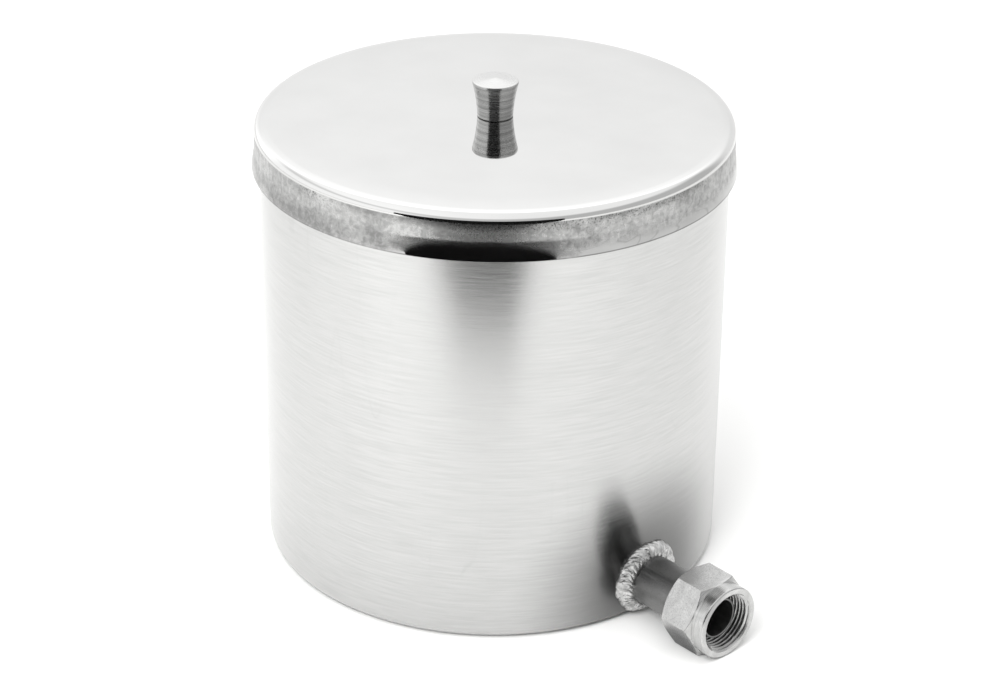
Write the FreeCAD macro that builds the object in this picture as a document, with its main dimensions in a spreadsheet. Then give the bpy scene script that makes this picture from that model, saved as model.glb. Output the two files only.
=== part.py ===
import FreeCAD, Part
import math
import os
import Sketcher

# Lidded stainless pot with a bottom outlet: a drawn pot, a loose slip-on lid with a turned
# knob, and a welded outlet tube that carries a captive hexagonal union nut.
# Frame: origin at the centre of the base, on the bench; +Z up; the outlet points along +X.
# Millimetres throughout.

DIMENSIONS = {
    # pot
    "pot_radius": 100.0,
    "pot_height": 195.8,
    "sheet": 1.0,
    "base_corner": 5.0,
    "base_corner_inside": 4.0,
    "rim_round": 0.3,
    # lid
    "lid_radius": 101.9,
    "lid_top": 197.7,
    "lid_corner": 3.7,
    "lid_corner_inside": 2.7,
    "skirt_depth": 20.0,
    "flare_start": 12.0,
    "flare_width": 1.3,
    "flare_bend": 7.0,
    # knob on the lid
    "knob_foot_radius": 7.6,
    "knob_rim_radius": 9.75,
    "knob_height": 16.0,
    "knob_rim": 1.2,
    "knob_crown": 1.0,
    "knob_side_arc": 70.0,
    "knob_edge": 0.3,
    # screw and washers that hold the knob
    "screw_radius": 2.95,
    "lid_hole_radius": 3.2,
    "knob_hole_radius": 3.0,
    "knob_hole_depth": 12.0,
    "screw_in_knob": 10.5,
    "washer_radius": 6.0,
    "washer_hole_radius": 3.2,
    "washer_thick": 1.6,
    "spring_radius": 5.6,
    "spring_hole_radius": 3.05,
    "spring_thick": 1.6,
    "spring_gap": 1.2,
    "head_radius": 6.0,
    "head_height": 3.6,
    "head_edge": 1.4,
    "cross_half": 0.65,
    "cross_reach": 2.9,
    "cross_depth": 2.0,
    # outlet tube, measured along +X from the pot's axis
    "outlet_height": 16.2,
    "tube_start": 96.5,
    "tube_radius": 11.0,
    "tube_bore_radius": 8.1,
    "flange_start": 129.4,
    "flange_thick": 2.2,
    "flange_radius": 11.85,
    "lip_radius": 9.1,
    "lip_end": 143.5,
    "lip_round": 0.3,
    "gasket_radius": 11.75,
    "gasket_hole_radius": 9.2,
    "gasket_thick": 2.0,
    # weld bead round the tube
    "bead_root": 96.0,
    "bead_toe": 98.8,
    "bead_end": 104.5,
    "bead_radius": 15.7,
    "bead_arc": 9.0,
    # union nut
    "nut_back": 126.1,
    "nut_length": 22.6,
    "hex_half": 16.0,
    "hex_length": 15.0,
    "hex_chamfer": 1.45,
    "chamfer_run": 2.89,
    "chamfer_rise": 5.0,
    "collar_radius": 15.95,
    "collar_round": 0.8,
    "nut_wall": 3.0,
    "nut_hole_radius": 11.3,
    "relief_length": 3.1,
    "thread_bore_radius": 12.06,
    "thread_chamfer": 1.3,
}

FULL_TURN = 360.0
NEAR = 1e-4

doc = FreeCAD.newDocument("lidded_pot")
sheet = doc.addObject("Spreadsheet::Sheet", "sizes")
for row, (alias, number) in enumerate(DIMENSIONS.items(), start=1):
    sheet.set("A%d" % row, alias)
    sheet.set("B%d" % row, str(number))
    sheet.setAlias("B%d" % row, alias)
doc.recompute()


def amount(formula):
    """Add up a formula of sheet names joined by + and -; an empty formula is zero."""
    total = 0.0
    sign = 1.0
    for word in formula.split():
        if word in "+-":
            sign = 1.0 if word == "+" else -1.0
        else:
            total += sign * float(sheet.get(word))
    return total


def bound(formula):
    """The same formula as an expression that reads the sheet."""
    return " ".join(word if word in "+-" else "sizes." + word for word in formula.split())


def new_body(label, height="", station=""):
    """A body named after its sub-part, moved up Z and along X where sizes are given."""
    body = doc.addObject("PartDesign::Body", label)
    body.Label = label
    if height:
        body.setExpression("Placement.Base.z", bound(height))
    if station:
        body.setExpression("Placement.Base.x", bound(station))
    return body


def origin_plane(body, role):
    """One of the body's own origin planes."""
    return [item for item in body.Origin.OriginFeatures if item.Role == role][0]


def new_sketch(body, name, plane_role):
    """An empty sketch on one of the body's own origin planes."""
    sketch = body.newObject("Sketcher::SketchObject", name)
    sketch.AttachmentSupport = [(origin_plane(body, plane_role), "")]
    sketch.MapMode = "FlatFace"
    return sketch


def pin_point(sketch, edge, end, formulas):
    """Hold a sketch point at its two formulas; an empty formula puts it on the axis."""
    for kind, axis, formula in (("DistanceX", -2, formulas[0]), ("DistanceY", -1, formulas[1])):
        if not formula:
            sketch.addConstraint(Sketcher.Constraint("PointOnObject", edge, end, axis))
            continue
        number = sketch.addConstraint(
            Sketcher.Constraint(kind, -1, 1, edge, end, amount(formula)))
        sketch.setExpression("Constraints[%d]" % number, bound(formula))


def arc_centre(start, finish, radius, side):
    """Centre of the arc from start to finish; side +1 puts it left of that direction."""
    chord = finish - start
    middle = (start + finish) * 0.5
    rise = math.sqrt(radius ** 2 - (chord.Length / 2) ** 2)
    left = FreeCAD.Vector(-chord.y, chord.x, 0).normalize()
    return middle + left * (side * rise)


def draw_outline(sketch, corners, arcs=None):
    """Draw a closed outline through the corners.

    Each corner is a pair of formulas. arcs maps the number of a side to the radius of
    the arc drawn there and the side on which its centre lies.
    """
    arcs = arcs or {}
    points = [FreeCAD.Vector(amount(across), amount(along), 0) for across, along in corners]
    count = len(points)
    ends = []
    for side in range(count):
        start, finish = points[side], points[(side + 1) % count]
        if side not in arcs:
            sketch.addGeometry(Part.LineSegment(start, finish), False)
            ends.append((1, 2))
            continue
        radius_name, turn = arcs[side]
        radius = amount(radius_name)
        centre = arc_centre(start, finish, radius, turn)
        angles = [math.atan2(point.y - centre.y, point.x - centre.x) for point in (start, finish)]
        if turn < 0:
            angles.reverse()
        circle = Part.Circle(centre, FreeCAD.Vector(0, 0, 1), radius)
        sketch.addGeometry(Part.ArcOfCircle(circle, angles[0], angles[1]), False)
        ends.append((1, 2) if turn > 0 else (2, 1))
        number = sketch.addConstraint(Sketcher.Constraint("Radius", side, radius))
        sketch.setExpression("Constraints[%d]" % number, bound(radius_name))
    for side in range(count):
        following = (side + 1) % count
        sketch.addConstraint(
            Sketcher.Constraint("Coincident", side, ends[side][1], following, ends[following][0]))
        pin_point(sketch, side, ends[side][0], corners[side])
    return sketch


def draw_circle(sketch, radius_name, height=""):
    """Draw a circle centred on the vertical axis, at a height where one is given."""
    centre = FreeCAD.Vector(0, amount(height), 0)
    circle = Part.Circle(centre, FreeCAD.Vector(0, 0, 1), amount(radius_name))
    sketch.addGeometry(circle, False)
    number = sketch.addConstraint(Sketcher.Constraint("Radius", 0, amount(radius_name)))
    sketch.setExpression("Constraints[%d]" % number, bound(radius_name))
    pin_point(sketch, 0, 3, ("", height))
    return sketch


def turned(kind, body, name, sketch, axis):
    """Revolve a sketch about one of its own axes, adding or cutting."""
    feature = body.newObject("PartDesign::" + kind, name)
    feature.Profile = sketch
    feature.ReferenceAxis = (sketch, [axis])
    feature.Angle = FULL_TURN
    doc.recompute()
    return feature


def pocket(body, name, sketch, depth="", reverse=False):
    """Cut a sketch out of the body, to a depth or through everything on one side."""
    before = body.Shape.Volume
    feature = body.newObject("PartDesign::Pocket", name)
    feature.Profile = sketch
    feature.Reversed = reverse
    if depth:
        feature.Length = amount(depth)
        feature.setExpression("Length", bound(depth))
    else:
        feature.Type = "ThroughAll"
    doc.recompute()
    if before - body.Shape.Volume < 1.0:
        raise RuntimeError(name + " cuts nothing")
    return feature


def rings(feature, axis, wanted):
    """Names of the round edges at the given (radius, station along the axis) pairs."""
    names = []
    for radius, station in wanted:
        for number, edge in enumerate(feature.Shape.Edges, start=1):
            curve = edge.Curve
            if not isinstance(curve, Part.Circle):
                continue
            same_size = abs(curve.Radius - amount(radius)) < NEAR
            same_place = abs(curve.Center.dot(axis) - amount(station)) < NEAR
            if same_size and same_place:
                names.append("Edge%d" % number)
    if len(names) < len(wanted):
        raise RuntimeError("an edge is missing on " + feature.Name)
    return names


def dressed(kind, body, name, feature, edges, size_name):
    """Fillet or chamfer the named edges of a feature."""
    finish = body.newObject("PartDesign::" + kind, name)
    finish.Base = (feature, edges)
    size = "Radius" if kind == "Fillet" else "Size"
    setattr(finish, size, amount(size_name))
    finish.setExpression(size, bound(size_name))
    doc.recompute()
    return finish


ALONG_X = FreeCAD.Vector(1, 0, 0)
ALONG_Z = FreeCAD.Vector(0, 0, 1)


def make_pot_shell():
    """The drawn pot: one sheet of steel, with the hole that the outlet tube passes through."""
    body = new_body("pot_shell")
    outline = draw_outline(new_sketch(body, "pot_section", "XZ_Plane"), [
        ("", ""),
        ("pot_radius", ""),
        ("pot_radius", "pot_height"),
        ("pot_radius - sheet", "pot_height"),
        ("pot_radius - sheet", "sheet"),
        ("", "sheet"),
    ])
    drawn = turned("Revolution", body, "pot_drawn", outline, "V_Axis")
    outside = rings(drawn, ALONG_Z, [("pot_radius", "")])
    corner = dressed("Fillet", body, "pot_corner", drawn, outside, "base_corner")
    inside = rings(corner, ALONG_Z, [("pot_radius - sheet", "sheet")])
    corner = dressed("Fillet", body, "pot_corner_inside", corner, inside, "base_corner_inside")
    lips = rings(corner, ALONG_Z, [
        ("pot_radius", "pot_height"),
        ("pot_radius - sheet", "pot_height"),
    ])
    dressed("Fillet", body, "pot_rim", corner, lips, "rim_round")
    hole = draw_circle(new_sketch(body, "outlet_hole_circle", "YZ_Plane"),
                       "tube_radius", "outlet_height")
    pocket(body, "outlet_hole", hole, reverse=True)
    return body


def make_lid_shell():
    """The slip-on lid: flat top, round corner, and a skirt that flares at its lower edge."""
    body = new_body("lid_shell")
    outline = draw_outline(new_sketch(body, "lid_section", "XZ_Plane"), [
        ("", "lid_top"),
        ("", "lid_top - sheet"),
        ("lid_radius - sheet", "lid_top - sheet"),
        ("lid_radius - sheet", "lid_top - flare_start"),
        ("lid_radius + flare_width - sheet", "lid_top - skirt_depth"),
        ("lid_radius + flare_width", "lid_top - skirt_depth"),
        ("lid_radius", "lid_top - flare_start"),
        ("lid_radius", "lid_top"),
    ])
    drawn = turned("Revolution", body, "lid_drawn", outline, "V_Axis")
    outside = rings(drawn, ALONG_Z, [("lid_radius", "lid_top")])
    corner = dressed("Fillet", body, "lid_corner_round", drawn, outside, "lid_corner")
    inside = rings(corner, ALONG_Z, [("lid_radius - sheet", "lid_top - sheet")])
    corner = dressed("Fillet", body, "lid_corner_hollow", corner, inside, "lid_corner_inside")
    bends = rings(corner, ALONG_Z, [
        ("lid_radius", "lid_top - flare_start"),
        ("lid_radius - sheet", "lid_top - flare_start"),
    ])
    dressed("Fillet", body, "lid_flare_bend", corner, bends, "flare_bend")
    hole = draw_circle(new_sketch(body, "lid_hole_circle", "XY_Plane"), "lid_hole_radius")
    pocket(body, "lid_hole", hole, reverse=True)
    return body


def make_lid_knob():
    """The turned knob: a slim foot that flares to a wide rim, with a low crown on top."""
    body = new_body("lid_knob", "lid_top")
    outline = draw_outline(new_sketch(body, "knob_section", "XZ_Plane"), [
        ("", ""),
        ("knob_foot_radius - knob_edge", ""),
        ("knob_foot_radius", "knob_edge"),
        ("knob_rim_radius", "knob_height - knob_rim"),
        ("knob_rim_radius", "knob_height"),
        ("", "knob_height + knob_crown"),
    ], arcs={2: ("knob_side_arc", -1)})
    turned_knob = turned("Revolution", body, "knob_turned", outline, "V_Axis")
    rim = rings(turned_knob, ALONG_Z, [("knob_rim_radius", "knob_height")])
    dressed("Fillet", body, "knob_rim_round", turned_knob, rim, "knob_edge")
    hole = draw_circle(new_sketch(body, "knob_hole_circle", "XY_Plane"), "knob_hole_radius")
    pocket(body, "knob_hole", hole, "knob_hole_depth", reverse=True)
    return body


def turned_piece(label, corners, axis, arcs=None, height="", station=""):
    """A sub-part that is one outline turned about one of its own axes."""
    body = new_body(label, height, station)
    outline = draw_outline(new_sketch(body, label + "_section", "XZ_Plane"), corners, arcs)
    turned("Revolution", body, label + "_turned", outline, axis)
    return body


def make_washer(label, height, hole_radius, rim_radius, thickness):
    """A flat ring lying across the screw's axis, its lower face at the given height."""
    return turned_piece(label, [
        (hole_radius, ""),
        (rim_radius, ""),
        (rim_radius, thickness),
        (hole_radius, thickness),
    ], "V_Axis", height=height)


def make_spring_washer():
    """The split spring washer between the flat washer and the screw's head."""
    body = make_washer("spring_washer", "lid_top - sheet - washer_thick - spring_thick",
                       "spring_hole_radius", "spring_radius", "spring_thick")
    gap = draw_outline(new_sketch(body, "spring_gap_box", "XY_Plane"), [
        ("", "- spring_gap"),
        ("washer_radius", "- spring_gap"),
        ("washer_radius", "spring_gap"),
        ("", "spring_gap"),
    ])
    pocket(body, "spring_split", gap, reverse=True)
    return body


def make_knob_screw():
    """The pan-head screw that holds the knob from below, with a cross recess in its head."""
    tip = "head_height + spring_thick + washer_thick + sheet + screw_in_knob"
    body = turned_piece("knob_screw", [
        ("", ""),
        ("head_radius - head_edge", ""),
        ("head_radius", "head_edge"),
        ("head_radius", "head_height"),
        ("screw_radius", "head_height"),
        ("screw_radius", tip),
        ("", tip),
    ], "V_Axis", height="lid_top - sheet - washer_thick - spring_thick - head_height")
    arm, half = "cross_reach", "cross_half"
    cross = draw_outline(new_sketch(body, "cross_recess_outline", "XY_Plane"), [
        (arm, "- " + half), (arm, half), (half, half),
        (half, arm), ("- " + half, arm), ("- " + half, half),
        ("- " + arm, half), ("- " + arm, "- " + half), ("- " + half, "- " + half),
        ("- " + half, "- " + arm), (half, "- " + arm), (half, "- " + half),
    ])
    pocket(body, "cross_recess", cross, "cross_depth", reverse=True)
    return body


def make_outlet_tube():
    """The turned outlet: thick tube, flange that the nut pulls on, and a thin lip."""
    flange_end = "flange_start + flange_thick"
    body = turned_piece("outlet_tube", [
        ("tube_start", "tube_bore_radius"),
        ("lip_end", "tube_bore_radius"),
        ("lip_end", "lip_radius"),
        (flange_end, "lip_radius"),
        (flange_end, "flange_radius"),
        ("flange_start", "flange_radius"),
        ("flange_start", "tube_radius"),
        ("tube_start", "tube_radius"),
    ], "H_Axis", height="outlet_height")
    lips = rings(body.Tip, ALONG_X, [("lip_radius", "lip_end"), ("tube_bore_radius", "lip_end")])
    dressed("Fillet", body, "lip_rounding", body.Tip, lips, "lip_round")
    return body


def make_flat_gasket():
    """The flat gasket that lies on the flange, round the lip."""
    face = "flange_start + flange_thick"
    return turned_piece("flat_gasket", [
        (face, "gasket_hole_radius"),
        (face + " + gasket_thick", "gasket_hole_radius"),
        (face + " + gasket_thick", "gasket_radius"),
        (face, "gasket_radius"),
    ], "H_Axis", height="outlet_height")


def make_outlet_weld():
    """The weld bead: a rounded ring on the tube, cut back to the pot's outer surface."""
    ring = turned_piece("weld_ring", [
        ("bead_root", "tube_radius"),
        ("bead_end", "tube_radius"),
        ("bead_toe", "bead_radius"),
        ("bead_root", "bead_radius"),
    ], "H_Axis", {1: ("bead_arc", 1)}, "outlet_height")
    backing = turned_piece("weld_backing", [
        ("", ""),
        ("pot_radius", ""),
        ("pot_radius", "pot_height"),
        ("", "pot_height"),
    ], "V_Axis")
    foot = rings(backing.Tip, ALONG_Z, [("pot_radius", "")])
    dressed("Fillet", backing, "weld_backing_corner", backing.Tip, foot, "base_corner")
    bead = doc.addObject("Part::Cut", "outlet_weld")
    bead.Label = "outlet_weld"
    bead.Base = ring
    bead.Tool = backing
    doc.recompute()
    return bead


def make_union_nut():
    """The captive nut: chamfered hexagon, round collar, and a bore of the thread's inner size."""
    body = new_body("union_nut", "outlet_height", "nut_back")
    hexagon = body.newObject("PartDesign::AdditivePrism", "nut_hexagon")
    hexagon.AttachmentSupport = [(origin_plane(body, "YZ_Plane"), "")]
    hexagon.MapMode = "FlatFace"
    hexagon.Polygon = 6
    hexagon.setExpression("Circumradius", "sizes.hex_half / cos(30 deg)")
    hexagon.setExpression("Height", bound("nut_length"))
    doc.recompute()
    full = body.Shape.Volume

    back_cut = draw_outline(new_sketch(body, "nut_back_outline", "XZ_Plane"), [
        ("", "hex_half"),
        ("chamfer_run", "hex_half + chamfer_rise"),
        ("", "hex_half + chamfer_rise"),
    ])
    turned("Groove", body, "nut_back_chamfer", back_cut, "H_Axis")
    shoulder = "hex_length + hex_chamfer"
    collar_cut = draw_outline(new_sketch(body, "nut_collar_outline", "XZ_Plane"), [
        ("nut_length", "collar_radius"),
        ("nut_length", "collar_radius + chamfer_rise"),
        (shoulder + " - chamfer_run", "collar_radius + chamfer_rise"),
        (shoulder, "collar_radius"),
    ])
    turned("Groove", body, "nut_collar", collar_cut, "H_Axis")
    relief_end = "nut_wall + relief_length"
    bore_cut = draw_outline(new_sketch(body, "nut_bore_outline", "XZ_Plane"), [
        ("", ""),
        ("nut_length", ""),
        ("nut_length", "thread_bore_radius + thread_chamfer"),
        ("nut_length - thread_chamfer", "thread_bore_radius"),
        (relief_end + " + thread_chamfer", "thread_bore_radius"),
        (relief_end, "thread_bore_radius + thread_chamfer"),
        ("nut_wall", "thread_bore_radius + thread_chamfer"),
        ("nut_wall", "nut_hole_radius"),
        ("", "nut_hole_radius"),
    ])
    bored = turned("Groove", body, "nut_bore", bore_cut, "H_Axis")
    if body.Shape.Volume > 0.6 * full:
        raise RuntimeError("the nut is not bored")
    rim = rings(bored, ALONG_X, [("collar_radius", "nut_length")])
    dressed("Fillet", body, "nut_rim_round", bored, rim, "collar_round")
    return body


def check_and_export(subparts):
    """Stop on any failed feature or bad solid; otherwise write one file per sub-part."""
    doc.recompute()
    for item in doc.Objects:
        if "Invalid" in item.State or "Error" in item.State:
            raise RuntimeError("failed feature: " + item.Name)
    for item in subparts:
        if item.Shape.isNull() or not item.Shape.isValid():
            raise RuntimeError("bad solid: " + item.Label)
    os.makedirs("parts", exist_ok=True)
    for item in subparts:
        item.Shape.exportStep("parts/" + item.Label + ".step")
        print("%-14s volume %9.1f mm3" % (item.Label, item.Shape.Volume))


check_and_export([
    make_pot_shell(),
    make_outlet_tube(),
    make_outlet_weld(),
    make_flat_gasket(),
    make_union_nut(),
    make_lid_shell(),
    make_lid_knob(),
    make_washer("knob_washer", "lid_top - sheet - washer_thick",
                "washer_hole_radius", "washer_radius", "washer_thick"),
    make_spring_washer(),
    make_knob_screw(),
])
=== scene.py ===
"""The looks of a lidded stainless pot with a bottom outlet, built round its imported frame.

Metres throughout. +Z is up, the outlet points along +X, and the origin is the centre of the base.
"""
import math

import bmesh
import bpy
from mathutils import Matrix, Vector, noise


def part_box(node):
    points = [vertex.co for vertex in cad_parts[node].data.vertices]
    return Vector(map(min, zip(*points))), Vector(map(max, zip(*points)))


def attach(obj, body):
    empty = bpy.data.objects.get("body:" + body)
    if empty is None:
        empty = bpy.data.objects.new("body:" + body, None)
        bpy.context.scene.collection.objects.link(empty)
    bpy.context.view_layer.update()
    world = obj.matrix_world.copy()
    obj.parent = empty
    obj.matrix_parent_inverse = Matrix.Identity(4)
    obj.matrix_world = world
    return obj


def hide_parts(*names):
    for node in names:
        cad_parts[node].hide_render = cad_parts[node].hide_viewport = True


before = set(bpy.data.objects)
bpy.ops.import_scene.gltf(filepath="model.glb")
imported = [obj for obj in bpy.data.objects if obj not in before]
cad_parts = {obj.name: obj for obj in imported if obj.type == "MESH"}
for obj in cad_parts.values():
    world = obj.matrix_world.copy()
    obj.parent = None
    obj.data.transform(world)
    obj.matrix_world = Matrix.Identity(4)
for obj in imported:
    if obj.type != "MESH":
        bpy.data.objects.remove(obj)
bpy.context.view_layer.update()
MM = 0.001

# Where the parts are: each box's lowest and highest corner, read from the frame.
POT_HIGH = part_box("pot_shell")[1]
LID_LOW, LID_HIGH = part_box("lid_shell")
KNOB_LOW, KNOB_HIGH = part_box("lid_knob")
TUBE_LOW, TUBE_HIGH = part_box("outlet_tube")
NUT_LOW, NUT_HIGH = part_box("union_nut")
GASKET_LOW, GASKET_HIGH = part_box("flat_gasket")
BEAD_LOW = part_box("outlet_weld")[0]

# The pot.
SHEET = 1.0 * MM
POT_RADIUS = POT_HIGH.x
POT_HEIGHT = POT_HIGH.z
BASE_CORNER = 5.0 * MM
SHEET_EDGE = 0.3 * MM

# The lid.
LID_TOP = LID_HIGH.z
SKIRT_END = LID_LOW.z
FLARE_RADIUS = LID_HIGH.x
LID_RADIUS = FLARE_RADIUS - 1.3 * MM
LID_CORNER = 3.7 * MM
LID_HOLE = 3.2 * MM

# The outlet.
OUTLET_HEIGHT = (NUT_LOW.z + NUT_HIGH.z) / 2
TUBE_RADIUS = 11.0 * MM
TUBE_BORE = 8.1 * MM
FLANGE_RADIUS = 11.85 * MM
FLANGE_THICK = 2.2 * MM
LIP_RADIUS = 9.1 * MM

# How far the floor lies below the base, so that the two don't flicker.
FLOOR_DROP = 0.05 * MM


# ---------------------------------------------------------------- mesh helpers

def smooth_step(value):
    """0 below 0, 1 above 1, with soft ends between."""
    value = min(max(value, 0.0), 1.0)
    return value * value * (3 - 2 * value)


def wobble(*where):
    """Smooth noise in about -1 to 1 at a place given by up to three numbers."""
    return noise.noise(Vector((tuple(where) + (0.0, 0.0))[:3]))


def rounded(corners, steps=8):
    """Round an outline's corners. A corner is (across, along) or (across, along, radius)."""
    outline = []
    for number, corner in enumerate(corners):
        here = Vector(corner[:2])
        if len(corner) == 2:
            outline.append(here)
            continue
        before = (Vector(corners[number - 1][:2]) - here).normalized()
        after = (Vector(corners[(number + 1) % len(corners)][:2]) - here).normalized()
        half = before.angle(after) / 2
        reach = corner[2] / math.tan(half)
        centre = here + (before + after).normalized() * (corner[2] / math.sin(half))
        first = here + before * reach - centre
        turn = first.angle_signed(here + after * reach - centre)
        for step in range(steps + 1):
            spoke = first.copy()
            spoke.rotate(Matrix.Rotation(-turn * step / steps, 2))
            outline.append(centre + spoke)
    return outline


def divided(outline, longest):
    """Divide the long sides of a closed outline."""
    result = []
    for number, start in enumerate(outline):
        finish = outline[(number + 1) % len(outline)]
        count = max(1, math.ceil((finish - start).length / longest))
        result += [start.lerp(finish, step / count) for step in range(count)]
    return result


def finished(name, points, faces, crease=30.0):
    """Make an object from points and faces, smooth but for edges sharper than the crease."""
    mesh = bpy.data.meshes.new(name)
    mesh.from_pydata(points, [], faces)
    work = bmesh.new()
    work.from_mesh(mesh)
    bmesh.ops.recalc_face_normals(work, faces=work.faces)
    work.to_mesh(mesh)
    work.free()
    mesh.shade_smooth()
    mesh.set_sharp_from_angle(angle=math.radians(crease))
    piece = bpy.data.objects.new(name, mesh)
    bpy.context.scene.collection.objects.link(piece)
    return piece


def ring_grid(rows, columns, place):
    """Points and faces of a closed grid: rows join end to end, and so do columns."""
    points = [place(row, column) for row in range(rows) for column in range(columns)]
    faces = []
    for row in range(rows):
        below = (row + 1) % rows
        for column in range(columns):
            right = (column + 1) % columns
            faces.append((row * columns + column, row * columns + right,
                          below * columns + right, below * columns + column))
    return points, faces


def lathe(name, outline, segments, along_x=False, crease=30.0):
    """Turn a closed outline of (radius, station) about Z, or about the outlet's axis.

    A point on the axis becomes one vertex, so the ends close without tiny faces.
    """
    hub = 1e-7

    def place(row, column):
        radius, station = outline[row]
        angle = 2 * math.pi * column / segments
        across, up = radius * math.cos(angle), radius * math.sin(angle)
        if along_x:
            return Vector((station, across, OUTLET_HEIGHT + up))
        return Vector((across, up, station))

    points, faces = ring_grid(len(outline), segments, place)
    on_axis = [radius < hub for radius, station in outline]
    merged = {}
    for row, flat in enumerate(on_axis):
        if flat:
            first = row * segments
            merged.update({first + column: first for column in range(segments)})
    kept = []
    for face in faces:
        corners = []
        for point in (merged.get(point, point) for point in face):
            if point not in corners:
                corners.append(point)
        if len(corners) > 2:
            kept.append(corners)
    used = sorted({point for face in kept for point in face})
    number = {point: order for order, point in enumerate(used)}
    return finished(name, [points[point] for point in used],
                    [[number[point] for point in face] for face in kept], crease)


def stand_in(piece, body, slot, *nodes):
    """Put a piece on its body, in place of its CAD nodes; the slot argument is not used."""
    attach(piece, body)
    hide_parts(*nodes)
    return piece


# ---------------------------------------------------------------- the pot

def make_pot():
    """The drawn pot, with the hole that the outlet tube passes through."""
    outline = rounded([
        (0, 0),
        (POT_RADIUS, 0, BASE_CORNER),
        (POT_RADIUS, POT_HEIGHT, SHEET_EDGE),
        (POT_RADIUS - SHEET, POT_HEIGHT, SHEET_EDGE),
        (POT_RADIUS - SHEET, SHEET, BASE_CORNER - SHEET),
        (0, SHEET),
    ])
    pot = lathe("pot_drawn", divided(outline, 3 * MM), 360)
    inner, outer = POT_RADIUS * 0.8, POT_RADIUS * 1.2
    cutter = lathe("outlet_hole", [
        Vector((0, inner)),
        Vector((TUBE_RADIUS, inner)),
        Vector((TUBE_RADIUS, outer)),
        Vector((0, outer)),
    ], 96, along_x=True)
    hole = pot.modifiers.new("hole", "BOOLEAN")
    hole.operation = "DIFFERENCE"
    hole.solver = "EXACT"
    hole.object = cutter
    seen = pot.evaluated_get(bpy.context.evaluated_depsgraph_get())
    drilled = bpy.data.meshes.new_from_object(seen)
    pot.modifiers.clear()
    pot.data = drilled
    bpy.data.objects.remove(cutter)
    return stand_in(pot, "pot", "drawn_steel", "pot_shell")


def make_tube():
    """The turned outlet tube with its flange and thin lip."""
    flange_end = GASKET_LOW.x
    flange_start = flange_end - FLANGE_THICK
    turned_edge, lip_edge = 0.2 * MM, 0.3 * MM
    outline = rounded([
        (TUBE_BORE, TUBE_LOW.x, turned_edge),
        (TUBE_RADIUS, TUBE_LOW.x, turned_edge),
        (TUBE_RADIUS, flange_start),
        (FLANGE_RADIUS, flange_start, turned_edge),
        (FLANGE_RADIUS, flange_end, turned_edge),
        (LIP_RADIUS, flange_end),
        (LIP_RADIUS, TUBE_HIGH.x, lip_edge),
        (TUBE_BORE, TUBE_HIGH.x, lip_edge),
    ], steps=5)
    tube = lathe("tube_turned", divided(outline, 4 * MM), 144, along_x=True)
    return stand_in(tube, "pot", "tube_steel", "outlet_tube")


def make_gasket():
    """The flat gasket on the flange, its edges a little rounded."""
    hole, rim, edge = 9.2 * MM, 11.75 * MM, 0.3 * MM
    outline = rounded([
        (hole, GASKET_LOW.x, edge),
        (rim, GASKET_LOW.x, edge),
        (rim, GASKET_HIGH.x, edge),
        (hole, GASKET_HIGH.x, edge),
    ], steps=4)
    gasket = lathe("gasket_ring", outline, 96, along_x=True)
    return stand_in(gasket, "pot", "black_rubber", "flat_gasket")


def wall_at(across, up):
    """How far along +X the pot's outer surface lies, at a place beside the outlet's axis."""
    radius = POT_RADIUS
    if up < BASE_CORNER:
        drop = min(BASE_CORNER - up, BASE_CORNER)
        radius += math.sqrt(BASE_CORNER ** 2 - drop ** 2) - BASE_CORNER
    return math.sqrt(radius ** 2 - across ** 2)


def make_weld():
    """The bead round the tube: overlapping scales from a toe on the tube to one on the wall."""
    around, across = 900, 26
    scale_length = 2.1 * MM
    tube_reach, wall_reach = 4.3, 5.9
    into_tube, into_wall, root = 0.15 * MM, 0.25 * MM, 0.6 * MM
    lowest = BEAD_LOW.z + 0.05 * MM
    outwards = Vector((0.72, 0.69))

    def place(column, row):
        angle = 2 * math.pi * column / around
        side, up = math.cos(angle), math.sin(angle)
        wave = [wobble(side * k, up * k, k) for k in (1.3, 3.1, 7.0)]
        on_wall = TUBE_RADIUS + (wall_reach + 0.9 * wave[0] + 0.6 * wave[1] + 0.5 * wave[2]) * MM
        if up < 0:
            on_wall = min(on_wall, (lowest - OUTLET_HEIGHT) / up)
        along_tube = (tube_reach + 0.8 * wave[1] + 0.5 * wave[2] + 0.3 * wave[0]) * MM
        beside_tube = wall_at(TUBE_RADIUS * side, OUTLET_HEIGHT + TUBE_RADIUS * up)
        tube_toe = Vector((beside_tube + along_tube, TUBE_RADIUS - into_tube))
        beside_toe = wall_at(on_wall * side, OUTLET_HEIGHT + on_wall * up)
        wall_toe = Vector((beside_toe - into_wall, on_wall))
        last = across - 1
        if row == last:
            spot = Vector((wall_toe.x - root, TUBE_RADIUS - into_tube))
        else:
            share = row / (last - 1)
            spot = tube_toe.lerp(wall_toe, share)
            arch = 4 * share * (1 - share)
            path = angle * (TUBE_RADIUS + 3 * MM) / scale_length
            path += 0.9 * wobble(side * 2.2, up * 2.2, 9.0) + 1.5 * arch
            phase = path - math.floor(path)
            scale = math.sqrt(1 - phase) * smooth_step(phase * 5)
            lumps = 0.55 * wobble(side * 7, up * 7, share * 2)
            lumps += 0.08 * wobble(side * 26, up * 26, share * 7)
            height = (1.2 + 0.4 * scale + lumps) * arch ** 0.8
            spot += outwards * height * MM
        return Vector((spot.x, spot.y * side, OUTLET_HEIGHT + spot.y * up))

    points, faces = ring_grid(around, across, place)
    bead = finished("weld_bead", points, faces, crease=50)
    return stand_in(bead, "pot", "weld_steel", "outlet_weld")


# ---------------------------------------------------------------- the union nut

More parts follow.
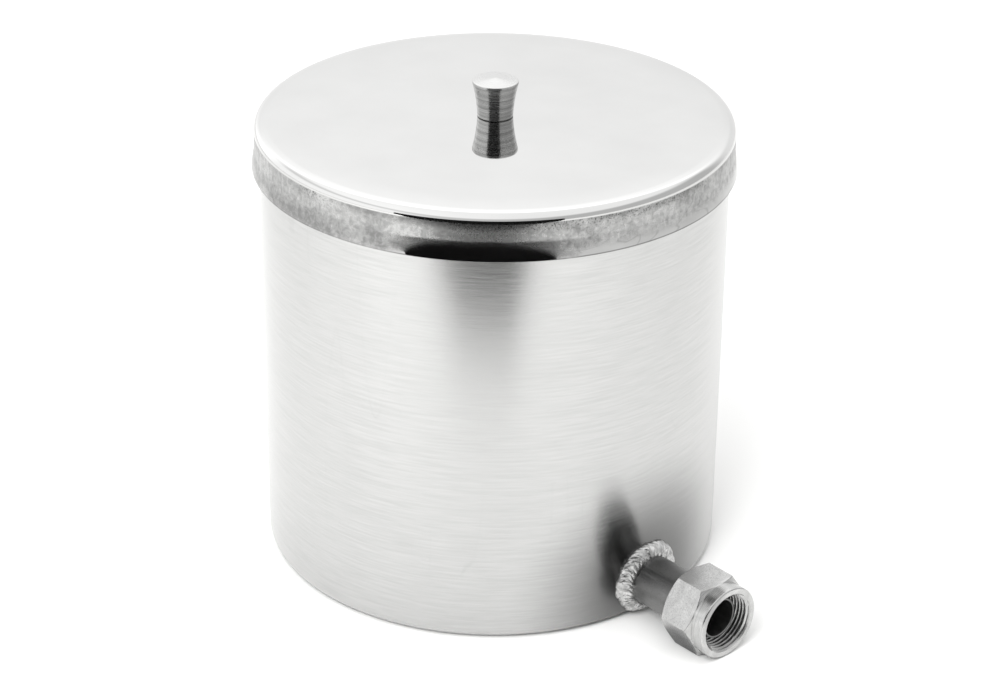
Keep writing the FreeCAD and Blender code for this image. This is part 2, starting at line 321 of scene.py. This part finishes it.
def make_nut():
    """The union nut: chamfered hexagon, round collar, and a real helical thread inside."""
    hex_half, collar = 16.0 * MM, 15.95 * MM
    steep = 5.0 / 2.89
    length = NUT_HIGH.x - NUT_LOW.x
    shoulder = 16.45 * MM
    soft = 0.22 * MM
    hole, wall = 11.3 * MM, 3.0 * MM
    relief_end = 6.1 * MM
    minor, major = 12.06 * MM, 13.22 * MM
    mouth = 13.36 * MM
    pitch = 1.814 * MM
    rim, edge = 0.8 * MM, 0.2 * MM
    chamfer_end, shoulder_from, shoulder_to = 1.9 * MM, 14.4 * MM, 17.0 * MM

    def hexagon(angle):
        """Radius of the plain hexagon."""
        sixth = math.pi / 3
        return hex_half / math.cos((angle + sixth / 2 - math.pi / 2) % sixth - sixth / 2)

    def outside(station, angle):
        """Radius outside: hexagon, its two chamfers with softened edges, and the collar."""
        if station >= shoulder:
            return collar
        cone = min(hex_half + station * steep, collar + (shoulder - station) * steep)
        flat = hexagon(angle)
        blend = max(soft - abs(cone - flat), 0) / soft
        return min(cone, flat) - blend * blend * soft / 4

    def thread(station, angle):
        """Radius inside: a helix, opened by a chamfer at each end."""
        phase = (station / pitch - angle / (2 * math.pi)) % 1
        climb = min(max((abs(2 * phase - 1) - 0.12) / 0.76, 0.0), 1.0)
        cut = minor + (major - minor) * climb
        cut = max(cut, mouth - (station - relief_end))
        return max(cut, mouth - (length - station))

    # The section's path: back face, outside, rim, mouth, thread, relief and hole.
    back_face = hex_half - 0.12 * MM - hole
    path = [("ring", hole + edge, 0.0)]
    path += [("ring", hole + back_face * step / 6, 0.0) for step in range(1, 7)]
    fine, plain = 0.12 * MM, 0.7 * MM
    station = 0.06 * MM
    while station < length - rim:
        path.append(("outside", 0.0, station))
        busy = station < chamfer_end or shoulder_from < station < shoulder_to
        station += fine if busy else plain
    for step in range(8):
        turn = math.pi / 2 * step / 7
        path.append(("ring", collar - rim + rim * math.cos(turn),
                     length - rim + rim * math.sin(turn)))
    path.append(("ring", mouth + 0.15 * MM, length))
    station = length
    while station > relief_end:
        path.append(("thread", 0.0, station))
        station -= pitch / 20
    path += [("ring", mouth, relief_end), ("ring", mouth, wall), ("ring", hole, wall),
             ("ring", hole, edge)]

    columns = 360

    def place(row, column):
        kind, radius, station = path[row]
        angle = 2 * math.pi * column / columns
        if kind == "outside":
            radius = outside(station, angle)
        elif kind == "thread":
            radius = thread(station, angle)
        return Vector((NUT_LOW.x + station, radius * math.cos(angle),
                       OUTLET_HEIGHT + radius * math.sin(angle)))

    points, faces = ring_grid(len(path), columns, place)
    nut = finished("nut_threaded", points, faces, crease=35)
    return stand_in(nut, "swivel_nut", "nut_steel", "union_nut")


# ---------------------------------------------------------------- the lid

def make_lid():
    """The slip-on lid: top that falls a little towards its edge, round corner, flared skirt."""
    flat_radius, edge_fall = 84 * MM, 0.35 * MM
    flare_start, flare_bend, cut_edge = LID_TOP - 12 * MM, 7 * MM, 0.25 * MM
    edge_top = LID_TOP - edge_fall
    fall = []
    for step in range(13):
        radius = flat_radius + (LID_RADIUS - LID_CORNER - flat_radius) * step / 12
        share = (radius - flat_radius) / (LID_RADIUS - flat_radius)
        fall.append((radius, LID_TOP - edge_fall * share ** 2))
    skirt = rounded([
        (LID_RADIUS - 12 * MM, edge_top),
        (LID_RADIUS, edge_top, LID_CORNER),
        (LID_RADIUS, flare_start, flare_bend),
        (FLARE_RADIUS, SKIRT_END, cut_edge),
        (FLARE_RADIUS - SHEET, SKIRT_END, cut_edge),
        (LID_RADIUS - SHEET, flare_start, flare_bend),
        (LID_RADIUS - SHEET, edge_top - SHEET, LID_CORNER - SHEET),
    ], steps=12)[1:]
    under = [Vector((radius, height - SHEET)) for radius, height in reversed(fall)]
    outline = [Vector((LID_HOLE, LID_TOP))] + [Vector(point) for point in fall[:-1]]
    outline += skirt + under[1:] + [Vector((LID_HOLE, LID_TOP - SHEET))]
    lid = lathe("lid_drawn", divided(outline, 4 * MM), 360)
    return stand_in(lid, "lid", "polished_steel", "lid_shell")


def make_knob():
    """The turned knob: concave side with fine tool rings, narrow rim, low crown."""
    foot, rim_radius, edge = 7.6 * MM, KNOB_HIGH.x, 0.3 * MM
    rim_low, rim_high, swing = 14.8 * MM, 16.0 * MM, 70 * MM
    crown = KNOB_HIGH.z - KNOB_LOW.z - rim_high
    low, high = Vector((foot, edge)), Vector((rim_radius, rim_low))
    chord = high - low
    outwards = Vector((chord.y, -chord.x)).normalized()
    hub = (low + high) / 2 + outwards * math.sqrt(swing ** 2 - (chord.length / 2) ** 2)

    def tool_ring(height):
        depth = 0.018 * math.sin(height / MM * 9.7) + 0.07 * wobble(height / MM * 1.1, 3.0)
        return -abs(depth) * MM

    side = []
    for step in range(109):
        height = edge + (rim_low - edge) * step / 108
        radius = hub.x - math.sqrt(swing ** 2 - (height - hub.y) ** 2)
        side.append(Vector((radius + tool_ring(height), height)))
    rim = [Vector((rim_radius - 0.05 * MM, rim_low + 0.1 * MM)),
           Vector((rim_radius - 0.02 * MM, rim_high - 0.35 * MM)),
           Vector((rim_radius - 0.12 * MM, rim_high - 0.1 * MM))]
    top = []
    for step in range(60):
        share = step / 59
        radius = (rim_radius - 0.35 * MM) * (1 - share)
        ring = 0.012 * math.sin(radius / MM * 14) * min(1, 8 * share) * (1 if share < 1 else 0)
        top.append(Vector((radius, rim_high + crown * share + (ring - 0.012) * MM * share)))
    outline = [Vector((0, 0)), Vector((foot - edge, 0))] + side + rim + top
    outline = [Vector((radius, LID_TOP + height)) for radius, height in outline]
    knob = lathe("knob_turned", outline, 160, crease=40)
    return stand_in(knob, "lid", "turned_steel", "lid_knob")


# ---------------------------------------------------------------- materials

class Surface:
    """A material built a node at a time."""

    def __init__(self, name, metallic=1.0):
        self.material = bpy.data.materials.new(name)
        self.material.use_nodes = True
        self.tree = self.material.node_tree
        self.shader = self.tree.nodes["Principled BSDF"]
        self.shader.inputs["Metallic"].default_value = metallic
        self.place = self.node("TexCoord").outputs["Object"]

    def node(self, kind, **settings):
        """Add a node, named without its ShaderNode prefix."""
        made = self.tree.nodes.new("ShaderNode" + kind)
        for name, value in settings.items():
            setattr(made, name, value)
        return made

    def feed(self, socket, value):
        """Link a socket, or set it when the value is a plain one."""
        if isinstance(value, bpy.types.NodeSocket):
            self.tree.links.new(value, socket)
        else:
            socket.default_value = value

    def calc(self, operation, *values, clamp=False):
        """One step of arithmetic on sockets or plain numbers."""
        made = self.node("Math", operation=operation, use_clamp=clamp)
        for number, value in enumerate(values):
            self.feed(made.inputs[number], value)
        return made.outputs[0]

    def spread(self, value, low, high, to_low=0.0, to_high=1.0, soft=False):
        """Map a value from one range to another, and clamp it there."""
        made = self.node("MapRange", interpolation_type="SMOOTHSTEP" if soft else "LINEAR")
        for name, number in (("Value", value), ("From Min", low), ("From Max", high),
                             ("To Min", to_low), ("To Max", to_high)):
            self.feed(made.inputs[name], number)
        return made.outputs["Result"]

    def noise(self, scale, detail=2.0, warp=0.0, rough=0.5, where=None):
        """Noise whose cells per metre along X, Y and Z are the three scales."""
        stretch = self.node("Mapping")
        self.feed(stretch.inputs["Vector"], where or self.place)
        stretch.inputs["Scale"].default_value = scale
        made = self.node("TexNoise")
        self.feed(made.inputs["Vector"], stretch.outputs["Vector"])
        for name, number in (("Scale", 1.0), ("Detail", detail), ("Roughness", rough),
                             ("Distortion", warp)):
            made.inputs[name].default_value = number
        return made.outputs["Fac"]

    def mix(self, share, first, second):
        """Mix two greys or colours."""
        made = self.node("Mix", data_type="RGBA")
        self.feed(made.inputs["Factor"], share)
        for name, value in (("A", first), ("B", second)):
            socket = [item for item in made.inputs
                      if item.name == name and item.type == "RGBA"][0]
            if isinstance(value, float):
                value = (value, value, value * 0.992, 1.0)
            self.feed(socket, value)
        return [item for item in made.outputs if item.type == "RGBA"][0]

    def blend(self, share, first, second):
        """Mix two plain numbers."""
        made = self.node("Mix", data_type="FLOAT")
        self.feed(made.inputs["Factor"], share)
        self.feed(made.inputs["A"], first)
        self.feed(made.inputs["B"], second)
        return made.outputs["Result"]

    def bump(self, height, depth, strength=1.0, below=None):
        """Raise the surface by height times depth, in metres."""
        made = self.node("Bump")
        made.inputs["Strength"].default_value = strength
        made.inputs["Distance"].default_value = depth
        self.feed(made.inputs["Height"], height)
        if below:
            self.feed(made.inputs["Normal"], below)
        return made.outputs["Normal"]

    def axes(self):
        """X, Y and Z of a place on the surface."""
        split = self.node("SeparateXYZ")
        self.feed(split.inputs[0], self.place)
        return split.outputs[0], split.outputs[1], split.outputs[2]

    def brushed(self, axis, amount, turn):
        """Stretch the gloss along or across the direction that runs round an axis."""
        tangent = self.node("Tangent", direction_type="RADIAL", axis=axis)
        self.feed(self.shader.inputs["Tangent"], tangent.outputs[0])
        self.shader.inputs["Anisotropic"].default_value = amount
        self.shader.inputs["Anisotropic Rotation"].default_value = turn

    def along(self, direction):
        """How far a place lies along a level direction."""
        x, y, z = self.axes()
        return self.calc("ADD", self.calc("MULTIPLY", x, direction.x),
                         self.calc("MULTIPLY", y, direction.y))

    def finish(self, color=None, roughness=None, normal=None):
        """Feed the shader and hand over the material."""
        for name, value in (("Base Color", color), ("Roughness", roughness), ("Normal", normal)):
            if value is not None:
                self.feed(self.shader.inputs[name], value)
        return self.material


def from_axis(surface):
    """Distance from the pot's own axis."""
    x, y, z = surface.axes()
    return surface.calc("SQRT", surface.calc("ADD", surface.calc("MULTIPLY", x, x),
                                           surface.calc("MULTIPLY", y, y)))


def round_outlet(surface):
    """Distance from the outlet's axis, for places on the outlet's side of the pot."""
    x, y, z = surface.axes()
    off_height = surface.calc("SUBTRACT", z, OUTLET_HEIGHT)
    squares = surface.calc("ADD", surface.calc("MULTIPLY", y, y),
                          surface.calc("MULTIPLY", off_height, off_height))
    far_side = surface.calc("LESS_THAN", x, 0.0)
    return surface.calc("ADD", surface.calc("SQRT", squares), far_side)


def wall_steel():
    """Brushed sheet: fine level lines, faint upright scuffs, and a darker zone round the weld,
    partly weld tint and partly painted shade of the outlet's dark reflection.

    The inside is the same sheet left duller.
    """
    surface = Surface("wall_steel")
    fine = surface.noise((60, 60, 1500), 3, rough=0.6)
    lines = surface.noise((12, 12, 1000), 4)
    clouds = surface.noise((14, 14, 9), 4, 0.6)
    grain = surface.calc("ADD", surface.calc("MULTIPLY", fine, 0.7),
                         surface.calc("MULTIPLY", lines, 0.3))
    scratch = surface.calc("ABSOLUTE", surface.calc("SUBTRACT", surface.noise((75, 75, 7), 0), 0.5))
    scuffs = surface.calc("MULTIPLY", surface.spread(scratch, 0.006, 0.002),
                         surface.spread(clouds, 0.52, 0.62))
    # Painted shade, partly weld tint: the sheet darkens towards the outlet, standing in for the
    # dark reflection of the tube and nut.
    weld_tint_and_painted_shade = surface.spread(round_outlet(surface), 64 * MM, 15 * MM, soft=True)
    color = surface.mix(surface.spread(grain, 0.37, 0.63), 0.485, 0.56)
    color = surface.mix(surface.calc("MULTIPLY", weld_tint_and_painted_shade, 0.88), color, 0.13)
    color = surface.mix(surface.calc("MULTIPLY", scuffs, 0.22), color, 0.34)
    roughness = surface.spread(grain, 0.3, 0.7, 0.19, 0.26)
    inside = surface.calc("LESS_THAN", from_axis(surface), POT_RADIUS - SHEET / 2)
    roughness = surface.calc("ADD", roughness, surface.calc("MULTIPLY", inside, 0.15))
    surface.feed(surface.shader.inputs["Metallic"], surface.blend(inside, 1.0, 0.6))
    normal = surface.bump(grain, 0.010 * MM, 0.6)
    surface.brushed("Z", 0.5, 0.25)
    return surface.finish(color, roughness, normal)


def lid_steel():
    """Polished top; a skirt with cloudy draw marks above and a bright flared band below."""
    surface = Surface("lid_steel")
    z = surface.axes()[2]
    top = surface.spread(z, LID_TOP - 4.4 * MM, LID_TOP - 3.6 * MM, soft=True)
    below_top = surface.calc("SUBTRACT", 1.0, top)

    # The polish reaches higher up the skirt in two places, a lens and a band beside it, both on the
    # side that faces the camera: partly worn polish, partly placed so that the lens shapes the dark
    # card's reflection into a crescent, a painted reflection.
    lens_side = surface.along(in_view(-0.06, -1, 0).normalized() / FLARE_RADIUS)
    band_side = surface.along(in_view(1, 0, 0) / FLARE_RADIUS)
    lens = surface.spread(lens_side, 0.935, 0.985, 0.0, 7.0 * MM)
    band = surface.spread(band_side, 0.31, 0.38, 0.0, 4.5 * MM, soft=True)
    wear_and_reflection_reach = surface.calc("MAXIMUM", lens, band)
    ragged = surface.calc("MULTIPLY", surface.noise((40, 40, 40), 5, 0.6), 5 * MM)
    above_edge = surface.calc("ADD", surface.calc("SUBTRACT", z, SKIRT_END), ragged)
    cloudy = surface.calc("DIVIDE", surface.calc("SUBTRACT", above_edge, wear_and_reflection_reach), 4.5 * MM,
                          clamp=True)
    cloudy = surface.calc("MULTIPLY", cloudy, below_top)

    # The cloudy part: mottle, patches, upright streaks, stains and pits.
    mottle = surface.noise((420, 420, 420), 6, 0.5, 0.72)
    patches = surface.noise((30, 30, 75), 4, 0.8)
    streaks = surface.noise((420, 420, 30), 3)
    marks = surface.calc("ADD", surface.calc("MULTIPLY", mottle, 0.5),
                         surface.calc("MULTIPLY", streaks, 0.15))
    marks = surface.calc("ADD", marks, surface.calc("MULTIPLY", patches, 0.35))
    stained = surface.mix(surface.spread(marks, 0.40, 0.60), 0.24, 0.48)
    stain_zone = surface.spread(z, LID_TOP - 8 * MM, LID_TOP - 4 * MM, soft=True)
    stain_spots = surface.spread(surface.noise((16, 16, 60), 5, 1.0), 0.46, 0.62)
    stain = surface.calc("MULTIPLY", stain_zone, stain_spots)
    stained = surface.mix(surface.calc("MULTIPLY", stain, 0.75), stained, 0.12)
    pit_spots = surface.spread(surface.noise((1500, 1500, 1500), 2), 0.56, 0.62)
    pit_sides = surface.spread(surface.noise((16, 16, 1), 2), 0.52, 0.62)
    near_top = surface.calc("MULTIPLY", surface.spread(z, LID_TOP - 9 * MM, LID_TOP - 5 * MM),
                            surface.spread(z, LID_TOP - 2.5 * MM, LID_TOP - 3.5 * MM))
    pits = surface.calc("MULTIPLY", pit_spots, surface.calc("MULTIPLY", pit_sides, near_top))
    stained = surface.mix(pits, stained, 0.08)

    # The bright part: the mirror top, and the flare with its tide lines and a painted shade along
    # its cut edge.
    bright = surface.mix(surface.spread(surface.noise((30, 30, 30), 3), 0.3, 0.7), 0.65, 0.68)
    tide = surface.calc("MULTIPLY", surface.noise((20, 20, 70), 2, 0.6), 9.0)
    tide = surface.calc("FRACT", tide)
    tide = surface.calc("ABSOLUTE", surface.calc("SUBTRACT", tide, 0.5))
    tide = surface.spread(tide, 0.09, 0.0)
    flare = surface.mix(surface.spread(surface.noise((30, 30, 90), 4), 0.35, 0.65), 0.36, 0.46)
    flare = surface.mix(surface.calc("MULTIPLY", tide, 0.6), flare, 0.24)
    # Painted shade: a dark line along the skirt's cut edge, where the gap between skirt and wall is
    # dark.
    cut_edge_shade = surface.spread(z, SKIRT_END + 0.75 * MM, SKIRT_END + 0.45 * MM)
    flare = surface.mix(surface.calc("MULTIPLY", cut_edge_shade, 0.7), flare, 0.10)
    bright = surface.mix(top, flare, bright)
    color = surface.mix(cloudy, bright, stained)

    smudge = surface.noise((22, 22, 22), 5, 0.8)
    polished = surface.spread(smudge, 0.35, 0.75, 0.03, 0.05)
    roughness = surface.blend(cloudy, polished, surface.spread(marks, 0.3, 0.7, 0.36, 0.22))
    waves = surface.noise((55, 55, 160), 2, 1.0)
    normal = surface.bump(surface.calc("MULTIPLY", waves, below_top), 0.05 * MM, 0.5)
    normal = surface.bump(surface.calc("MULTIPLY", marks, cloudy), 0.03 * MM, 0.6, normal)
    return surface.finish(color, roughness, normal)


def knob_steel():
    """Turned steel: rings and bands round the knob, a bright top and a dark line at its foot."""
    surface = Surface("knob_steel")
    section = surface.node("CombineXYZ")
    surface.feed(section.inputs[0], from_axis(surface))
    height = surface.axes()[2]
    surface.feed(section.inputs[2], height)
    rings = surface.noise((2600, 1, 3200), 3, where=section.outputs[0])
    bands = surface.noise((900, 1, 700), 2, where=section.outputs[0])
    dents = surface.noise((260, 260, 260), 4, 1.0)
    top = surface.spread(height, KNOB_HIGH.z - 1.6 * MM, KNOB_HIGH.z - 1.1 * MM)
    color = surface.mix(surface.spread(bands, 0.35, 0.65), 0.34, 0.52)
    color = surface.mix(top, color, 0.62)
    color = surface.mix(surface.spread(dents, 0.68, 0.72), color, 0.2)
    uneven = surface.calc("MULTIPLY", surface.noise((300, 300, 300), 3), 0.7 * MM)
    above_foot = surface.calc("SUBTRACT", surface.calc("SUBTRACT", height, KNOB_LOW.z), uneven)
    color = surface.mix(surface.spread(above_foot, 0.16 * MM, -0.06 * MM, 0.0, 0.85), color, 0.04)
    roughness = surface.spread(rings, 0.3, 0.7, 0.18, 0.34)
    normal = surface.bump(rings, 0.02 * MM, 0.6)
    surface.brushed("Z", 0.6, 0.25)
    return surface.finish(color, roughness, normal)


def tube_steel():
    """Dull drawn tube with lengthwise lines and darker speckles."""
    surface = Surface("tube_steel")
    lines = surface.noise((60, 1500, 1500), 3)
    speckle = surface.noise((1400, 1400, 1400), 3, 0.0, 0.7)
    dull = surface.noise((70, 70, 70), 4, 0.5)
    color = surface.mix(surface.spread(dull, 0.35, 0.65), 0.15, 0.24)
    color = surface.mix(surface.spread(speckle, 0.55, 0.70, 0.0, 0.5), color, 0.09)
    roughness = surface.spread(lines, 0.3, 0.7, 0.30, 0.44)
    normal = surface.bump(lines, 0.02 * MM, 0.5)
    surface.brushed("X", 0.4, 0.25)
    return surface.finish(color, roughness, normal)


def nut_steel():
    """Satin flats with a fine grain, and turning marks on the collar, rim and thread."""
    surface = Surface("nut_steel")
    x, y, z = surface.axes()
    on_collar = surface.spread(x, NUT_LOW.x + 13.4 * MM, NUT_LOW.x + 14.6 * MM)
    grain = surface.noise((1700, 1700, 1700), 3, 0.0, 0.7)
    turning = surface.noise((3000, 60, 60), 3)
    wear = surface.noise((150, 150, 150), 5, 0.6)
    marks = surface.blend(on_collar, grain, turning)
    color = surface.mix(surface.spread(wear, 0.35, 0.68), 0.47, 0.60)
    color = surface.mix(surface.spread(marks, 0.42, 0.66, 0.0, 0.55), color, 0.30)
    roughness = surface.blend(on_collar, 0.26, surface.spread(turning, 0.3, 0.7, 0.20, 0.34))
    normal = surface.bump(marks, 0.02 * MM, 0.6)
    return surface.finish(color, roughness, normal)


def weld_steel():
    """Weld metal: bright crests, dull valleys, small dark specks."""
    surface = Surface("weld_steel")
    patches = surface.noise((300, 300, 300), 3, 0.6, 0.5)
    specks = surface.noise((1600, 1600, 1600), 2)
    color = surface.mix(surface.spread(patches, 0.38, 0.62), 0.44, 0.66)
    color = surface.mix(surface.spread(specks, 0.64, 0.70), color, 0.14)
    roughness = surface.spread(patches, 0.3, 0.7, 0.36, 0.24)
    normal = surface.bump(patches, 0.05 * MM, 0.5)
    return surface.finish(color, roughness, normal)


def fastener_steel():
    """Plain turned fastener steel under the lid."""
    surface = Surface("fastener_steel")
    rings = surface.noise((500, 500, 2400), 3)
    color = surface.mix(surface.spread(rings, 0.35, 0.65), 0.50, 0.66)
    return surface.finish(color, surface.spread(rings, 0.3, 0.7, 0.24, 0.40),
                          surface.bump(rings, 0.02 * MM, 0.5))


def black_rubber():
    """Matte gasket rubber."""
    surface = Surface("black_rubber", metallic=0.0)
    grain = surface.noise((2500, 2500, 2500), 3)
    color = surface.mix(surface.spread(grain, 0.4, 0.7), 0.012, 0.03)
    return surface.finish(color, surface.spread(grain, 0.3, 0.7, 0.5, 0.7),
                          surface.bump(grain, 0.03 * MM, 0.6))


def paint(material, *pieces):
    """Give pieces one material, in place of any that they have."""
    for piece in pieces:
        piece.data.materials.clear()
        piece.data.materials.append(material)


# ---------------------------------------------------------------- studio

# The camera: it looks down at the pot from between the outlet and its left.
VIEW_TURN = math.radians(48.0)
VIEW_DOWN = math.radians(27.11)
VIEW_ROLL = math.radians(0.64)
VIEW_DISTANCE = 1.218
VIEW_TARGET = Vector((3.1 * MM, 0, 88.7 * MM))
LENS, SENSOR = 99.6, 36.0

# Two black cards stand in front of the pot, one above the other, as the camera sees it.
CARD_AWAY = -0.40
CARD_LEFT, CARD_RIGHT = -0.35, 0.215
CARD_FOOT_LEFT, CARD_FOOT_RIGHT = -0.09, 0.045
CARD_BOTTOM, CARD_SHOULDER, CARD_SEAM, CARD_TOP = 0.001, 0.141, 0.26, 0.85
CARD_BLACK, SHADE_GREY = 0.01, 0.30


def in_view(across, away, up):
    """A place given as the camera sees it: right, away from it, and up."""
    return Matrix.Rotation(VIEW_TURN, 3, "Z") @ Vector((across, away, up))


def make_camera():
    """The camera, and its place."""
    data = bpy.data.cameras.new("camera")
    data.lens, data.sensor_width = LENS, SENSOR
    camera = bpy.data.objects.new("camera", data)
    bpy.context.scene.collection.objects.link(camera)
    forward = in_view(0, math.cos(VIEW_DOWN), -math.sin(VIEW_DOWN))
    right = in_view(1, 0, 0)
    right.rotate(Matrix.Rotation(-VIEW_ROLL, 3, forward))
    up = right.cross(forward)
    place = Matrix((right, up, -forward)).transposed().to_4x4()
    place.translation = Matrix.Rotation(VIEW_TURN, 3, "Z") @ VIEW_TARGET - forward * VIEW_DISTANCE
    camera.matrix_world = place
    bpy.context.scene.camera = camera


def make_floor():
    """A pale floor disc, just under the pot."""
    radius = 6.0
    work = bmesh.new()
    bmesh.ops.create_circle(work, cap_ends=True, segments=128, radius=radius)
    mesh = bpy.data.meshes.new("floor")
    work.to_mesh(mesh)
    work.free()
    floor = bpy.data.objects.new("floor", mesh)
    floor.location.z = -FLOOR_DROP
    bpy.context.scene.collection.objects.link(floor)
    surface = Surface("floor_white", metallic=0.0)
    shade = surface.mix(surface.noise((3, 3, 3), 2), 0.80, 0.83)
    surface.shader.inputs["Specular IOR Level"].default_value = 0.1
    paint(surface.finish(shade, 0.9), floor)


def make_flag(name, points, shade, first_bounce=True):
    """A flat dark sheet that only reflections see, as a studio flag is.

    Without first_bounce it is seen only in a reflection of a reflection, so it darkens the
    knob and its mirror image and stays out of the lid's own mirror.
    """
    mesh = bpy.data.meshes.new(name)
    mesh.from_pydata(points, [], [list(range(len(points)))])
    flag = bpy.data.objects.new(name, mesh)
    bpy.context.scene.collection.objects.link(flag)
    for way in ("camera", "diffuse", "shadow", "transmission", "volume_scatter"):
        setattr(flag, "visible_" + way, False)
    surface = Surface(name + "_black", metallic=0.0)
    surface.shader.inputs["Specular IOR Level"].default_value = 0.0
    if not first_bounce:
        depth = surface.node("LightPath").outputs["Ray Depth"]
        surface.feed(surface.shader.inputs["Alpha"], surface.calc("GREATER_THAN", depth, 1.5))
    paint(surface.finish((shade, shade, shade, 1.0), 1.0), flag)


def make_low_card():
    """The card that darkens the wall and the flare; its foot is narrow and spreads upwards."""
    left, right = [], []
    for step in range(13):
        share = step / 12
        spread_out = share ** 0.75
        up = CARD_BOTTOM + (CARD_SHOULDER - CARD_BOTTOM) * share
        left.append((CARD_FOOT_LEFT + (CARD_LEFT - CARD_FOOT_LEFT) * spread_out, up))
        right.append((CARD_FOOT_RIGHT + (CARD_RIGHT - CARD_FOOT_RIGHT) * spread_out, up))
    left.append((CARD_LEFT, CARD_SEAM))
    right.append((CARD_RIGHT, CARD_SEAM))
    corners = [in_view(across, CARD_AWAY, up) for across, up in right + left[::-1]]
    make_flag("low_card", corners, CARD_BLACK)


def make_high_card():
    """The card that darkens the knob's stripe and its mirror image."""
    outline = [(CARD_LEFT, CARD_SEAM), (CARD_RIGHT, CARD_SEAM),
               (CARD_RIGHT, CARD_TOP), (CARD_LEFT, CARD_TOP)]
    corners = [in_view(across, CARD_AWAY - 1 * MM, up) for across, up in outline]
    make_flag("high_card", corners, CARD_BLACK, first_bounce=False)


def make_shade():
    """A grey patch on the floor under the nut, a painted shadow of the outlet that is seen only in
    reflections.
    """
    centre, half_length, half_width = NUT_LOW.x + 2 * MM, 15 * MM, 16 * MM
    points = []
    for step in range(48):
        angle = 2 * math.pi * step / 48
        points.append((centre + half_length * math.cos(angle),
                       half_width * math.sin(angle), -FLOOR_DROP / 2))
    make_flag("outlet_shade", points, SHADE_GREY)


def make_light(name, place, aim, size, watts):
    """A soft lamp that lights the floor and isn't itself seen in the steel."""
    data = bpy.data.lights.new(name, "AREA")
    data.shape, data.size, data.energy = "DISK", size, watts
    light = bpy.data.objects.new(name, data)
    light.location = place
    light.rotation_mode = "QUATERNION"
    light.rotation_quaternion = (aim - place).to_track_quat("-Z", "Y")
    light.visible_glossy = False
    bpy.context.scene.collection.objects.link(light)


def make_world():
    """A grey studio: bright backdrop behind the pot, bright ceiling, lighter left side.

    The camera itself sees plain white behind the floor.
    """
    world = bpy.data.worlds.new("studio")
    bpy.context.scene.world = world
    world.use_nodes = True
    tree = world.node_tree

    def node(kind, operation=None, *values):
        made = tree.nodes.new("ShaderNode" + kind)
        if operation:
            made.operation = operation
        for number, value in enumerate(values):
            if isinstance(value, bpy.types.NodeSocket):
                tree.links.new(value, made.inputs[number])
            else:
                made.inputs[number].default_value = value
        return made

    def calc(operation, first, second):
        return node("Math", operation, first, second).outputs[0]

    def ramp(value, low, high, to_low, to_high):
        made = node("MapRange", None, value, low, high, to_low, to_high)
        made.interpolation_type = "SMOOTHSTEP"
        return made.outputs[0]

    turned = node("Mapping", None, node("TexCoord").outputs["Generated"])
    turned.inputs["Rotation"].default_value = (0, 0, -VIEW_TURN)
    split = node("SeparateXYZ", None, turned.outputs[0])
    across, away, up = split.outputs[0], split.outputs[1], split.outputs[2]
    behind = ramp(away, 0.45, 0.75, 0.0, 1.0)
    backdrop = calc("MULTIPLY", behind, ramp(up, 0.62, 0.9, 1.0, 0.0))
    backdrop = calc("MULTIPLY", backdrop, ramp(up, 0.3, 0.6, 0.38, 0.78))
    sides = ramp(across, -0.7, 0.5, 0.86, 0.66)
    left = calc("MULTIPLY", ramp(across, -0.8, -0.3, 0.5, 0.0), ramp(up, 0.35, 0.6, 1.0, 0.0))
    ceiling = ramp(up, 0.52, 0.74, 0.0, 0.55)
    total = calc("ADD", calc("ADD", calc("ADD", backdrop, sides), left), ceiling)
    total = calc("MAXIMUM", total, node("LightPath").outputs["Is Camera Ray"])
    background = tree.nodes["Background"]
    tree.links.new(total, background.inputs["Strength"])
    background.inputs["Color"].default_value = (1, 1, 1, 1)


# ---------------------------------------------------------------- the scene

pot = make_pot()
tube = make_tube()
gasket = make_gasket()
bead = make_weld()
nut = make_nut()
lid = make_lid()
knob = make_knob()

paint(wall_steel(), pot)
paint(tube_steel(), tube)
paint(black_rubber(), gasket)
paint(weld_steel(), bead)
paint(nut_steel(), nut)
paint(lid_steel(), lid)
paint(knob_steel(), knob)
fasteners = [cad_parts[node] for node in ("knob_screw", "knob_washer", "spring_washer")]
paint(fastener_steel(), *fasteners)

bpy.context.scene.view_settings.view_transform = "Standard"
make_world()
make_floor()
make_low_card()
make_high_card()
make_shade()
make_light("overhead", in_view(-0.1, -0.6, 2.1), Vector((0, 0, 0)), 2.0, 17.0)
make_light("front_fill", in_view(-0.35, -0.9, 0.9), in_view(-0.12, -0.35, 0), 0.6, 9.0)
make_camera()
